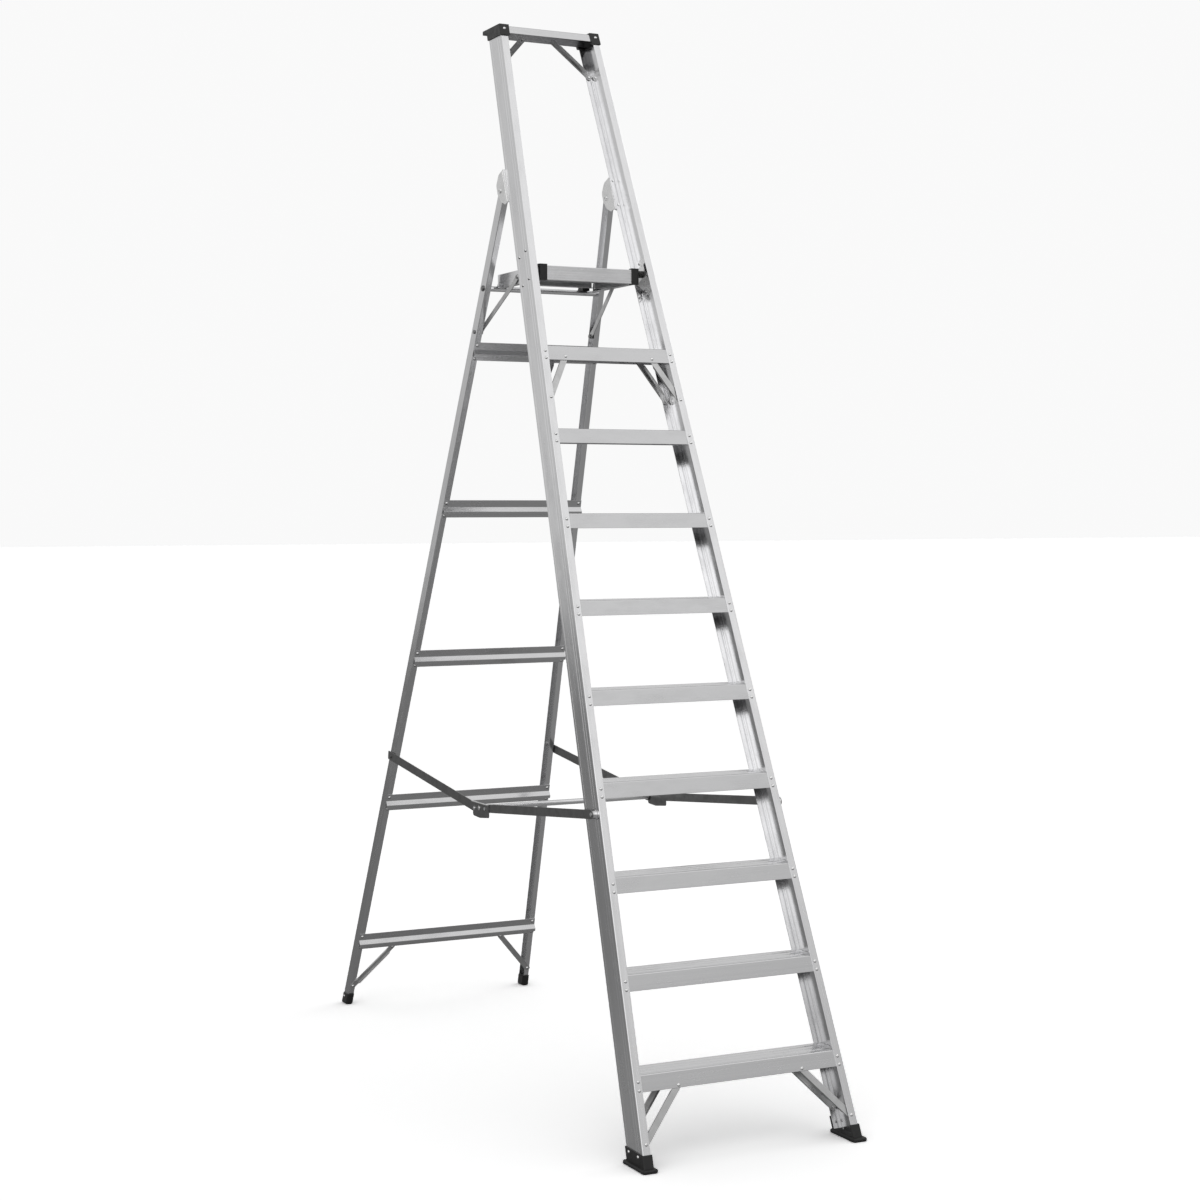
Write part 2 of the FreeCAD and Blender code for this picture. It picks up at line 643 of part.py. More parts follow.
def front_riveting():
    work = Riveting()
    add_tread_rivets(work)
    add_brace_rivets(work)
    add_bracket_rivets(work)
    for deep in (28.0, 88.0):
        along = FRONT.along_at(38.5, deep)
        work.add(FRONT.point(FRONT_OUT + 4, deep, along), FRONT.across * -1, 4 + FRONT_WALL)
    work.add(FRONT.point(2, -4, FRONT.along_at(3773, -4)), FRONT.deep, 8)
    return work


# ---------------------------------------------------------------- platform

def deck_z(drop):
    return PLATFORM_TOP_Z - drop


def deck_y(back):
    return FRONT_FOOT_Y + PLATFORM_FRONT_Y + back


def platform_fascia():
    """Front edge of the platform: an upright channel with fine ribs on its face."""
    wall = 2.5
    section = [(deck_y(0), deck_z(PLATFORM_HEIGHT), 1)]
    for rib in range(5):
        base = deck_z(PLATFORM_HEIGHT) + 6 + 9 * rib
        section += [(deck_y(0), base), (deck_y(0.8), base + 0.8)]
        section += [(deck_y(0.8), base + 3.2), (deck_y(0), base + 4)]
    section += [(deck_y(0), deck_z(0), 2), (deck_y(24), deck_z(0), 1), (deck_y(24), deck_z(wall), 1)]
    section += [(deck_y(wall + 0.8), deck_z(wall), 1)]
    section += [(deck_y(wall + 0.8), deck_z(PLATFORM_HEIGHT - wall), 1)]
    section += [(deck_y(24), deck_z(PLATFORM_HEIGHT - wall), 1), (deck_y(24), deck_z(PLATFORM_HEIGHT), 1)]
    return cross_bar(section, PLATFORM_HALF_WIDTH - 3)


def platform_side():
    """Side channel, open towards the middle, with the hinge hole at its front."""
    wall = 2.5
    x_out = PLATFORM_HALF_WIDTH
    section = [(x_out, deck_z(PLATFORM_HEIGHT), 2), (x_out, deck_z(0), 2), (x_out - 22, deck_z(0), 1)]
    section += [(x_out - 22, deck_z(wall), 1), (x_out - wall, deck_z(wall), 1)]
    section += [(x_out - wall, deck_z(PLATFORM_HEIGHT - wall), 1)]
    section += [(x_out - 22, deck_z(PLATFORM_HEIGHT - wall), 1), (x_out - 22, deck_z(PLATFORM_HEIGHT), 1)]
    length = PLATFORM_BACK_Y - PLATFORM_FRONT_Y - 4
    rail = placed(prism(section, length), V(0, deck_y(4) + length, 0), V(1, 0, 0), V(0, 0, 1))
    front_notch = Part.makeBox(30, 21, 80, V(x_out - 27.5 - 2.5, deck_y(4), deck_z(65)))
    hinge_hole = pin_hole(DECK_PIVOT, x_out - 20, x_out + 5)
    stay_hole = rod_x(STAY_TOP_PIVOT, x_out - 20, x_out + 5, SHANK_R)
    return rail.cut([front_notch, hinge_hole, stay_hole])


def platform_rear_bar():
    """Rear edge of the platform: a low channel between the side channels."""
    wall = 2.5
    top, bottom = deck_z(3), deck_z(REAR_BAR_DROP)
    length = PLATFORM_BACK_Y - PLATFORM_FRONT_Y
    back, front = deck_y(length), deck_y(length - 22)
    section = [(back, bottom, 1), (back, top, 2), (front, top, 1), (front, top - wall, 1)]
    section += [(back - wall, top - wall, 1), (back - wall, bottom + wall, 1)]
    section += [(front, bottom + wall, 1), (front, bottom, 1)]
    return cross_bar(section, PLATFORM_HALF_WIDTH - 8)


def deck_plank(start, width):
    """Ribbed plank on three legs, lying across the platform."""
    top, skin, leg = 0.5, 3.0, 20.0
    points = [(start, deck_z(leg)), (start, deck_z(top), 1)]
    pitch = width / 8
    for rib in range(8):
        left = start + pitch * rib + 2
        points += [(left, deck_z(top)), (left + 0.8, deck_z(top + 1)), (left + pitch - 4.8, deck_z(top + 1))]
        points += [(left + pitch - 4, deck_z(top))]
    end = start + width
    middle = start + width / 2
    points += [(end, deck_z(top), 1), (end, deck_z(leg)), (end - 2.5, deck_z(leg)), (end - 2.5, deck_z(skin))]
    points += [(middle + 1.5, deck_z(skin)), (middle + 1.5, deck_z(leg))]
    points += [(middle - 1.5, deck_z(leg)), (middle - 1.5, deck_z(skin))]
    points += [(start + 2.5, deck_z(skin)), (start + 2.5, deck_z(leg))]
    return cross_bar(points, PLATFORM_HALF_WIDTH - 22.5)


def platform_deck():
    start = deck_y(24.5)
    room = PLATFORM_BACK_Y - PLATFORM_FRONT_Y - 24.5 - 22.5
    pitch = room / PLANK_COUNT
    return Part.makeCompound([deck_plank(start + pitch * n, pitch - 1) for n in range(PLANK_COUNT)])


def platform_corner_cap():
    """Moulded corner at the end of the fascia, wrapped round onto the side channel."""
    x_out = PLATFORM_HALF_WIDTH + 3
    x_in = PLATFORM_HALF_WIDTH - PLATFORM_CAP_WIDTH
    front, back = deck_y(-2.5), deck_y(20)
    plan = [(x_in, front, 1.5), (x_out, front, 8), (x_out, back, 1.5), (x_in, back, 1)]
    bottom = deck_z(PLATFORM_HEIGHT)
    block = prism(plan, PLATFORM_HEIGHT + 7, bottom - 2)
    fascia_half = PLATFORM_HALF_WIDTH - 3
    fascia_space = Part.makeBox(2 * fascia_half, 60, PLATFORM_HEIGHT, V(-fascia_half, deck_y(0), bottom))
    side_space = Part.makeBox(30, 60, PLATFORM_HEIGHT, V(PLATFORM_HALF_WIDTH - 30, deck_y(4), bottom))
    return block.cut([fascia_space, side_space, pin_hole(DECK_PIVOT, 150, 220)])


def platform_bush():
    """Plastic bush between the side channel and the hinge bracket."""
    x_start = PLATFORM_HALF_WIDTH + 3
    x_end = FRONT.x_at(-12, DECK_PIVOT) - 1.2
    bush = rod_x(DECK_PIVOT, x_start, x_end, BUSH_R)
    return bush.cut(pin_hole(DECK_PIVOT, x_start - 1, x_end + 1))


def tube_catch():
    """Plastic hook under the platform's rear edge that drops over the catch tube."""
    y, z = TUBE_CENTRE
    bore = TUBE_R + 0.4
    back, low = y + bore + 5, z - 6
    front = deck_y(PLATFORM_BACK_Y - PLATFORM_FRONT_Y)
    points = [(front, deck_z(12)), (y, deck_z(12), 8), (back, z + bore, 8), (back, low, 2), (y + 2, low)]
    points += [(y + 2, z + 6), (front, z + 6)]
    hook = side_plate(points, CATCH_X - 14, 28)
    return hook.cut(rod_x(TUBE_CENTRE, CATCH_X - 20, CATCH_X + 20, bore))


def stay_standoff():
    """Stand-off on the side channel that keeps the stay's upper end clear of the platform."""
    return fused([
        rod_x(STAY_TOP_PIVOT, PLATFORM_HALF_WIDTH, STAY_TOP_X - 0.4, 7),
        rod_x(STAY_TOP_PIVOT, PLATFORM_HALF_WIDTH - 2.5, PLATFORM_HALF_WIDTH, SHANK_R),
        rod_x(STAY_TOP_PIVOT, PLATFORM_HALF_WIDTH - 4.7, PLATFORM_HALF_WIDTH - 2.5, TAIL_R),
    ])


# ---------------------------------------------------------------- stays

def stay():
    """Flat strut set over from the platform's side to the rear stile, with a hole at each end."""
    top = V(STAY_TOP_X, *STAY_TOP_PIVOT)
    foot = V(STAY_FOOT_X, *STAY_FOOT_PIVOT)
    half = STAY_WIDTH / 2
    down = (foot - top)
    down.x = 0
    length = down.Length
    run = V(down).normalize()
    shift = STAY_FOOT_X - STAY_TOP_X
    bend_a, bend_b = 30.0, length - 30.0
    edge = [(-half, 0), (bend_a, 0), (bend_b, shift), (length + half, shift)]
    other = [(across, along + STAY_WALL) for across, along in reversed(edge)]
    side_view = prism(edge + other, STAY_WIDTH, -half)
    bent = placed(side_view, top, run, V(1, 0, 0))
    centre_line = [(-half, -half, half - 0.1), (length + half, -half, half - 0.1)]
    centre_line += [(length + half, half, half - 0.1), (-half, half, half - 0.1)]
    face_view = placed(prism(centre_line, 200, -100), top, run, V(1, 0, 0).cross(run))
    flat = bent.common(face_view)
    return flat.cut([pin_hole(STAY_FOOT_PIVOT, 200, 250), rod_x(STAY_TOP_PIVOT, 190, 205, SHANK_R)])


def stay_top_rivet():
    x = STAY_TOP_X + STAY_WALL
    return fused([rod_x(STAY_TOP_PIVOT, STAY_TOP_X, x, SHANK_R), rod_x(STAY_TOP_PIVOT, x, x + 3, HEAD_R + 1)])


def stay_foot_pin():
    web_x = REAR.x_at(0, STAY_FOOT_PIVOT)
    x = STAY_FOOT_X
    stations = [(x - 4, WASHER_R), (x - 0.4, PIN_R), (x + STAY_WALL + 0.4, WASHER_R)]
    stations += [(web_x - REAR_WALL - 0.6, PIN_R), (web_x + 0.5, WASHER_R - 1), (web_x + 3.6, 0)]
    return pin(STAY_FOOT_PIVOT, stations)


# ---------------------------------------------------------------- rear frame

def rear_stile():
    """Channel open towards the ladder's middle, hung from the fold hinge."""
    inner = -REAR_WALL
    section = [(-REAR_FLANGE, 0, 0.8), (0, 0, 2.5), (0, REAR_DEPTH, 2.5), (-REAR_FLANGE, REAR_DEPTH, 0.8)]
    section += [(-REAR_FLANGE, REAR_DEPTH - REAR_WALL, 0.8), (inner, REAR_DEPTH - REAR_WALL, 1)]
    section += [(inner, REAR_WALL, 1), (-REAR_FLANGE, REAR_WALL, 0.8)]
    channel = REAR.place(prism(section, 3700, -100))
    channel = channel.common(height_band(STILE_BOTTOM_Z - 4, REAR_STILE_TOP_Z))
    holes = [
        pin_hole(TOP_PIVOT, 190, 240),
        rod_x(STAY_FOOT_PIVOT, 235, 270, PIN_R),
        rod_x(TUBE_CENTRE, 225, 260, SHANK_R),
        rod_x(ARM_REAR_PIVOT, 330, 360, PIN_R),
    ]
    return channel.cut(holes)


def rear_rail(ledge_z):
    """Hat-section rail across the front of the rear stiles: brim, sloping ledge, crown and lower brim."""
    crown = 15.0
    wall = RAIL_WALL
    section = [(0, 36), (0, 7, 2), (-crown, -6, 2), (-crown, -16, 2), (0, -18.5, 1), (0, -33.5)]
    section += [(-wall, -33.5), (-wall, -20), (-crown - wall, -17.5, 2), (-crown - wall, -5, 3)]
    section += [(-wall, 8.6, 2), (-wall, 36)]
    flat = prism(section, 2 * REAR_HALF_WIDTH + 20, -REAR_HALF_WIDTH - 10)
    lean = REAR.lean
    origin = V(0, REAR.face_y(ledge_z), ledge_z)
    back_axis = V(0, math.cos(lean), -math.sin(lean))
    up_axis = V(0, math.sin(lean), math.cos(lean))
    bar = placed(flat, origin, back_axis, up_axis)
    return bar.common(frame_interior(REAR, 0.0))


def rear_brace_ends():
    """Rivet points (inset, along) of a strap: on the lowest rail's lower brim and on the stile."""
    high = (REAR.half_width(248) - 242, REAR.along_at(RAIL_LEDGES_Z[0]) - 26.5)
    low = (REAR_RIVET_IN, REAR.along_at(82))
    return high, low


def rear_braces():
    """Straps from behind the lowest rail down to the front of the rear stiles."""
    (high_in, high_along), (low_in, low_along) = rear_brace_ends()
    low = REAR.point(-low_in, -STRAP_GAP, low_along)
    high = REAR.point(-high_in, BRACE_WALL + STRAP_GAP, high_along)
    return both_sides([strut(low, high, REAR.deep * -1, 0.05)])


def rear_foot():
    """Rounded plastic plug over the rear stile's end."""
    inner, outer, back = -REAR_FLANGE - 4, 4, REAR_DEPTH + 4
    plan = [(inner, -4, 10), (outer, -4, 10), (outer, back, 10), (inner, back, 10)]
    block = REAR.place(prism(plan, 300, -150)).common(height_band(0, REAR_FOOT_TOP_Z))
    sole_edges = [edge for edge in block.Edges if edge.BoundBox.ZMax < 0.01]
    return block.makeFillet(7.0, sole_edges)


def catch_tube():
    half = REAR.x_at(0, TUBE_CENTRE) - REAR_WALL - 0.8
    tube = rod_x(TUBE_CENTRE, -half, half, TUBE_R)
    return tube.cut(rod_x(TUBE_CENTRE, -half - 1, half + 1, TUBE_R - 2))


def tube_end_plug():
    """Plug in the tube's end, with a rivet head on the outside of the stile."""
    web_x = REAR.x_at(0, TUBE_CENTRE)
    start = web_x - REAR_WALL - 0.8
    stations = [(start - 20, TUBE_R - 2), (start, SHANK_R), (web_x + 0.6, TUBE_HEAD_R)]
    stations += [(web_x + 2.6, TUBE_HEAD_R - 3), (web_x + 5.6, 0)]
    return pin(TUBE_CENTRE, stations)


def spreader_rear_stud():
    """Stud on the rear stile that faces the rear arm's end, clear of it."""
    web_x = REAR.x_at(0, ARM_REAR_PIVOT)
    stations = [(web_x - 7, WASHER_R), (web_x - REAR_WALL - 0.6, PIN_R), (web_x + 0.5, WASHER_R)]
    stations += [(REAR_ARM_X - 0.4, 0)]
    return pin(ARM_REAR_PIVOT, stations)


def rear_riveting():
    work = Riveting()
    for ledge in RAIL_LEDGES_Z:
        for offset in RAIL_RIVET_OFFSETS:
            along = REAR.along_at(ledge) + offset
            work.add(REAR.point(-REAR_RIVET_IN, -RAIL_WALL, along), REAR.deep, RAIL_WALL + REAR_WALL)
    (high_in, high_along), (low_in, low_along) = rear_brace_ends()
    work.add(REAR.point(-high_in, -RAIL_WALL, high_along), REAR.deep, RAIL_WALL + BRACE_WALL + STRAP_GAP)
    low_face = REAR.point(-low_in, -BRACE_WALL - STRAP_GAP, low_along)
    work.add(low_face, REAR.deep, BRACE_WALL + REAR_WALL + STRAP_GAP)
    work.add(REAR.point(4, 33, REAR.along_at(31, 33)), REAR.across * -1, 4 + REAR_WALL)
    return work


# ---------------------------------------------------------------- spreaders

def arm(start, end, x_start, width, tail, tail_round):
    """Flat arm between two pivots, running on a little past the first and by the tail past the second."""
    run = V(0, end[0] - start[0], end[1] - start[1])
    half = width / 2
    corners = [(-ARM_NOSE, -half, half - 0.1), (run.Length + tail, -half, tail_round)]
    corners += [(run.Length + tail, half, tail_round), (-ARM_NOSE, half, half - 0.1)]
    bar = placed(prism(corners, SPREADER_WALL), V(x_start, start[0], start[1]), run, V(1, 0, 0).cross(run))
    return bar.cut([pin_hole(start, x_start - 1, x_start + 5), pin_hole(end, x_start - 1, x_start + 5)])


def spreader_front_arm():
    half = FRONT_ARM_WIDTH / 2
    return arm(ARM_FRONT_PIVOT, ARM_HINGE, FRONT_ARM_X, FRONT_ARM_WIDTH, half, half - 0.1)


def spreader_rear_arm():
    """Rear arm with the closed head of its end rivet on the outside."""
    bar = arm(ARM_HINGE, ARM_REAR_PIVOT, REAR_ARM_X, REAR_ARM_WIDTH, REAR_ARM_TAIL, 4)
    x_out = REAR_ARM_X + SPREADER_WALL
    stations = [(REAR_ARM_X, PIN_R + RUNNING_GAP), (x_out, WASHER_R), (x_out + 4, 0)]
    head = pin(ARM_REAR_PIVOT, stations)
    return fused([bar, head])


def spreader_hinge_plate():
    """Plate on the front arm over the hinge, with a folded top lip that stops the arms."""
    x = FRONT_ARM_X + SPREADER_WALL
    y, z = ARM_HINGE
    front, back, top = y - 129, y + 12, z + 26
    corners = [(front, top), (back, top), (back, z - 27, 10), (y - 50, z - 30, 60), (front, z - 21, 8)]
    plate = side_plate(corners, x, 2.5)
    lip = Part.makeBox(9, back - front, 2.5, V(x, front, top - 2.5))
    middle, end = (y - 45, z + 6), (y - 95, z + 8)
    heads = [rod_x(middle, x, x + 4, 8.5), rod_x(middle, x, x + 6.5, 4.5), rod_x(end, x, x + 5, HEAD_R)]
    return fused([plate, lip] + heads).cut(rod_x(ARM_HINGE, x - 1, x + 4, PIN_R + RUNNING_GAP))


def spreader_rod():
    """Cross rod that is also the pivot pin of both spreader hinges."""
    neck = REAR_ARM_X - 0.5
    outside = FRONT_ARM_X + SPREADER_WALL + 2.5
    stations = [(-outside - 4, 4), (-outside - 2, 8), (-outside, PIN_R), (-neck, ROD_R), (neck, PIN_R)]
    stations += [(outside, 8), (outside + 2, 4), (outside + 4, 0)]
    return pin(ARM_HINGE, stations)


# ---------------------------------------------------------------- assembly

def sided(name, shape):
    return {name + "_right": shape, name + "_left": mirrored(shape)}


def front_frame_nodes():
    rivets = front_riveting()
    stile = front_stile()
    stile = stile.cut(rod_x(ARM_FRONT_PIVOT, 320, 360, PIN_R))
    nodes = sided("stile", rivets.drill(stile))
    for number in range(1, TREAD_COUNT + 1):
        nodes["tread_%d" % number] = rivets.drill(tread(number))
    for number in BRACED_TREADS:
        nodes["tread_%d_braces" % number] = rivets.drill(tread_braces(number))
    nodes.update(sided("front_shoe", rivets.drill(front_shoe().cut(stile))))
    nodes["guardrail_bar"] = rivets.drill(guardrail_bar())
    nodes.update(sided("guardrail_cap", rivets.drill(guardrail_cap().cut(stile))))
    nodes["guardrail_braces"] = rivets.drill(guardrail_braces())
    nodes.update(sided("pivot_bracket", rivets.drill(pivot_bracket())))
    nodes.update(sided("platform_bracket", rivets.drill(platform_bracket().cut(stile))))
    nodes["top_pivot_pins"] = both_sides([top_pivot_pin()])
    nodes["platform_pivot_pins"] = both_sides([platform_pivot_pin()])
    nodes["spreader_front_pins"] = both_sides([spreader_front_pin()])
    nodes["front_frame_rivets"] = rivets.solids()
    return nodes


def platform_nodes():
    nodes = sided("platform_side", platform_side())
    nodes["platform_fascia"] = platform_fascia()
    nodes["platform_deck"] = platform_deck()
    nodes["platform_rear_bar"] = platform_rear_bar()
    nodes["platform_corner_caps"] = both_sides([platform_corner_cap()])
    nodes["platform_bushes"] = both_sides([platform_bush()])
    nodes["tube_catches"] = both_sides([tube_catch()])
    nodes["platform_standoffs"] = both_sides([stay_standoff()])
    return nodes


def rear_frame_nodes():
    rivets = rear_riveting()
    stile = rivets.drill(rear_stile())
    nodes = sided("rear_stile", stile)
    for number, ledge in enumerate(RAIL_LEDGES_Z, 1):
        nodes["rear_rail_%d" % number] = rivets.drill(rear_rail(ledge))
    nodes["rear_braces"] = rivets.drill(rear_braces())
    nodes.update(sided("rear_foot", rivets.drill(rear_foot().cut(rear_stile()))))
    nodes["catch_tube"] = catch_tube()
    nodes["tube_end_plugs"] = both_sides([tube_end_plug()])
    nodes["stay_foot_pins"] = both_sides([stay_foot_pin()])
    nodes["spreader_rear_studs"] = both_sides([spreader_rear_stud()])
    nodes["rear_frame_rivets"] = rivets.solids()
    return nodes


def linkage_nodes():
    nodes = sided("stay", stay())
    nodes["stay_top_rivets"] = both_sides([stay_top_rivet()])
    nodes.update(sided("spreader_front_arm", spreader_front_arm()))
    nodes.update(sided("spreader_rear_arm", spreader_rear_arm()))
    nodes["spreader_hinge_plates"] = both_sides([spreader_hinge_plate()])
    nodes["spreader_rod"] = spreader_rod()
    return nodes


def main():
    os.makedirs("parts", exist_ok=True)
    nodes = front_frame_nodes()
    nodes.update(platform_nodes())
    nodes.update(rear_frame_nodes())
    nodes.update(linkage_nodes())
    for name, shape in nodes.items():
        shape.exportStep("parts/%s.step" % name)


main()
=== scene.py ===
import json
import math

import bpy
from mathutils import Matrix, Vector


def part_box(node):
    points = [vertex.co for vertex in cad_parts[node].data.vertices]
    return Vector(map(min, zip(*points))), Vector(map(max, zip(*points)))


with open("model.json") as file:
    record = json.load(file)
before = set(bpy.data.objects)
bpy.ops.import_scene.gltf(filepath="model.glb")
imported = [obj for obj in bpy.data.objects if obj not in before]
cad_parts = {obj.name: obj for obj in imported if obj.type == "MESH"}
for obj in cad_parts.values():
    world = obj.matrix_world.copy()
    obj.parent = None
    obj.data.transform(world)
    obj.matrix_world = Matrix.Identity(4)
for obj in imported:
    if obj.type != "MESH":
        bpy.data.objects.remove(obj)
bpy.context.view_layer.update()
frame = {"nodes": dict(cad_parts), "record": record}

# The look of a four-legged aluminium platform stepladder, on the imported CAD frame.
# Metres and degrees. +Z is up, and the treads face -Y. The base colours are tuned so that the render
# matches the photo's light and shade; they are fixed to the ladder and are not measured finishes.

# Slopes of the two frames: how far each leans over and narrows for each metre of height.
FRONT_LEAN = 0.3955
REAR_LEAN = -0.3771
FRONT_FLARE = 0.0517
REAR_FLARE = 0.0584

# The plane of the front stiles' front face meets the floor at this y.
FRONT_FOOT_Y = -1.3203

CAMERA_PLACE = (-3.490, -5.890 + FRONT_FOOT_Y, 2.023)
CAMERA_YAW = 26.57
CAMERA_PITCH = -2.32
CAMERA_ROLL = -0.09
CAMERA_LENS = 66.14
SENSOR_WIDTH = 36.0
VIEW_REACH = 300.0

# Strengths of the studio light: all round, and in the front, low and high. Between the two heights, each
# the z of a unit direction, the low strength turns into the high one.
STUDIO_LIGHT = 0.56
FRONT_LIGHT = (0.55, 0.84)
FRONT_LIGHT_HEIGHTS = (0.36, 0.57)

# How nearly a direction points to the front, from where the front's light starts to where it is full.
FRONT_SPREAD = (-0.2, 0.5)

# Strength added towards the front left, with its direction and spread.
FRONT_LEFT_LIGHT = 0.55
FRONT_LEFT = (-0.6, -0.75, 0.25)
FRONT_LEFT_SPREAD = (0.75, 1.0)

# Brightness of the backdrop and of the floor, as the camera sees them.
BACKDROP_GREY = 0.95
FLOOR_GREY = 1.5

# Brightness of the floor in reflections, in front of the ladder and behind it, with each place's y.
FLOOR_REFLECTED = (0.35, 0.26)
FLOOR_REFLECTED_Y = (-1.0, 2.5)
FLOOR_REACH = 120.0

SOFTBOX_WIDTH = 4.0
SOFTBOX_HEIGHT = 3.0
SOFTBOX_WATTS = 40.0
SOFTBOX_PLACE = (5.5, 1.0, 6.0)
SOFTBOX_TARGET = (0.0, 0.0, 1.8)

# Noise features on each metre of extruded metal: along the piece, then across it twice.
LINE_FEATURES = (1.2, 700, 700)
BAND_FEATURES = (0.8, 60, 60)
MARK_FEATURES = (9, 22, 22)

# The part of a noise texture's range that most of its values fall in.
NOISE_SPAN = (0.3, 0.7)

# Extruded metal: changes of shade and roughness by the lines, bands and marks, with the parts of the
# marks' noise in which theirs happen. The lines are also this deep.
LINE_SHADE = 0.035
BAND_SHADE = 0.02
MARK_SHADES = (0.02, -0.05)
MARK_SHADE_SPAN = (0.35, 0.75)
LINE_ROUGHNESS = 0.05
MARK_ROUGHNESS = 0.10
MARK_ROUGHNESS_SPAN = (0.4, 0.75)
LINE_DEPTH = 0.00004
BLUE_TINT = 1.01

# How far up a face looks, as its normal's z, from where its painted top highlight starts to where it is
# full.
UPWARD_SPAN = (0.3, 0.8)

# Noise features on each metre of the other materials.
PLATING_CLOUDS = 30.0
PLATING_GRAIN = 420.0
RIVET_CLOUDS = 60.0
MOULDING_GRAIN = 900.0
MOULDING_DUST = 45.0

# The other materials: changes of shade and roughness by the clouds, grain and dust, with the parts of the
# dust's noise in which its own happen.
CLOUD_SHADE = 0.04
GRAIN_SHADE = 0.02
CLOUD_ROUGHNESS = (0.06, -0.04)
DUST_SHADE = 0.012
DUST_SHADE_SPAN = (0.45, 0.75)
DUST_ROUGHNESS = (-0.04, 0.12)
DUST_ROUGHNESS_SPAN = (0.4, 0.7)

# Rivet domes get a painted highlight on the side facing this way: to the front, up and a little to the left.
RIVET_HIGHLIGHT_SIDE = (-0.30, -0.78, 0.55)

# Painted shade and highlight of a rivet's dome: the shades of its darkest and its brightest side, and how
# nearly each faces that way.
RIVET_PAINTED_LIGHT = (0.22, 0.96)
RIVET_FACING = (0.25, 0.8)
RIVET_ROUGHNESS = (0.2, 0.26)

# Painted shade on a rear stile, darker low down: its shades low and high, with the heights between which
# they blend. The left one is painted darker than the right.
REAR_STILE_PAINTED_SHADES = {"right": (0.82, 0.86), "left": (0.68, 0.78)}
REAR_STILE_BLEND = (2.1, 2.9)

# The painted highlight on a spreader's hinge plate, in from the edge of its folded lip: the lip and pin
# heads.
PLATE_HIGHLIGHT_DEPTH = 0.0058

# Distance behind the front face at which the inside of a front stile begins.
FLANGE_THICKNESS = 0.0032

# Painted shade on the right front stile: the darker shade of its foot, and (shade, low z, high z) of what is
# above it. Its inside gets painted shade, as (factor at low z, low z, high z).
RIGHT_FOOT_PAINTED_SHADE = 0.78
RIGHT_UPPER = (0.86, 0.1, 1.1)
RIGHT_INSIDE_PAINTED_SHADE = (0.80, 0.05, 0.9)

# Painted light in each front stile's flutes: a highlight in the left one's, shade in the right one's.
LEFT_FLUTE_HIGHLIGHT = 0.11
RIGHT_FLUTE_SHADE = -0.16

# Flutes down a front stile's web: distances behind its front face, and half of a flute's width.
FLUTES = (0.020, 0.036, 0.092)
FLUTE_HALF_WIDTH = 0.0022

# Width over which one shade turns into another at an edge: the painted shade inside a stile, and the painted
# highlight on a hinge plate.
INSIDE_EDGE = 0.001
PLATE_EDGE = 0.0005


# ---------------------------------------------------------------- node building

class Shading:
    """Short calls for building one node tree."""

    def __init__(self, tree):
        self.tree = tree
        tree.nodes.clear()

    def node(self, kind, inputs=None, **settings):
        made = self.tree.nodes.new(kind)
        for name, value in settings.items():
            setattr(made, name, value)
        for name, value in (inputs or {}).items():
            self.feed(made.inputs[name], value)
        return made

    def feed(self, socket, value):
        if isinstance(value, bpy.types.NodeSocket):
            self.tree.links.new(value, socket)
        else:
            socket.default_value = value

    def math(self, operation, a, b=0.0):
        made = self.node("ShaderNodeMath", operation=operation)
        for socket, value in zip(made.inputs, (a, b)):
            self.feed(socket, value)
        return made.outputs[0]

    def dot(self, a, b):
        made = self.node("ShaderNodeVectorMath", operation="DOT_PRODUCT")
        self.feed(made.inputs[0], a)
        self.feed(made.inputs[1], b)
        return made.outputs["Value"]

    def ramp(self, value, low, high, to_low=0.0, to_high=1.0):
        inputs = {"Value": value, "From Min": low, "From Max": high, "To Min": to_low, "To Max": to_high}
        return self.node("ShaderNodeMapRange", inputs, interpolation_type="SMOOTHSTEP").outputs["Result"]

    def spread(self, noise, low, high):
        """A noise texture's value, stretched to run from low to high."""
        return self.ramp(noise, *NOISE_SPAN, low, high)

    def noise(self, vector, scale, detail, roughness):
        inputs = {"Vector": vector, "Scale": scale, "Detail": detail, "Roughness": roughness}
        return self.node("ShaderNodeTexNoise", inputs).outputs["Fac"]

    def grey(self, value):
        inputs = {"Red": value, "Green": value, "Blue": value}
        return self.node("ShaderNodeCombineColor", inputs).outputs["Color"]

    def bump(self, height, distance, strength):
        inputs = {"Height": height, "Distance": distance, "Strength": strength}
        return self.node("ShaderNodeBump", inputs).outputs[0]

    def surface(self, colour, rough, bump=None, metallic=1.0):
        """The principled shader and the material's output."""
        inputs = {"Base Color": colour, "Metallic": metallic, "Roughness": rough}
        if bump is not None:
            inputs["Normal"] = bump
        self.output(self.node("ShaderNodeBsdfPrincipled", inputs))

    def output(self, shader):
        self.node("ShaderNodeOutputMaterial", {"Surface": shader.outputs[0]})


def start_material(name):
    """A new material and the calls that build its node tree."""
    material = bpy.data.materials.new(name)
    material.use_nodes = True
    return material, Shading(material.node_tree)


# ---------------------------------------------------------------- camera, floor and light

def make_camera():
    data = bpy.data.cameras.new("camera")
    data.lens = CAMERA_LENS
    data.sensor_width = SENSOR_WIDTH
    data.sensor_fit = "HORIZONTAL"
    data.clip_end = VIEW_REACH
    camera = bpy.data.objects.new("camera", data)
    bpy.context.scene.collection.objects.link(camera)
    yaw = math.radians(CAMERA_YAW)
    pitch = math.radians(CAMERA_PITCH)
    ahead = Vector((math.sin(yaw) * math.cos(pitch), math.cos(yaw) * math.cos(pitch), math.sin(pitch)))
    right = Vector((math.cos(yaw), -math.sin(yaw), 0.0))
    up = right.cross(ahead)
    turn = Matrix((right, up, -ahead)).transposed()
    roll = Matrix.Rotation(math.radians(CAMERA_ROLL), 3, "Z")
    camera.matrix_world = Matrix.Translation(CAMERA_PLACE) @ (turn @ roll).to_4x4()
    bpy.context.scene.camera = camera


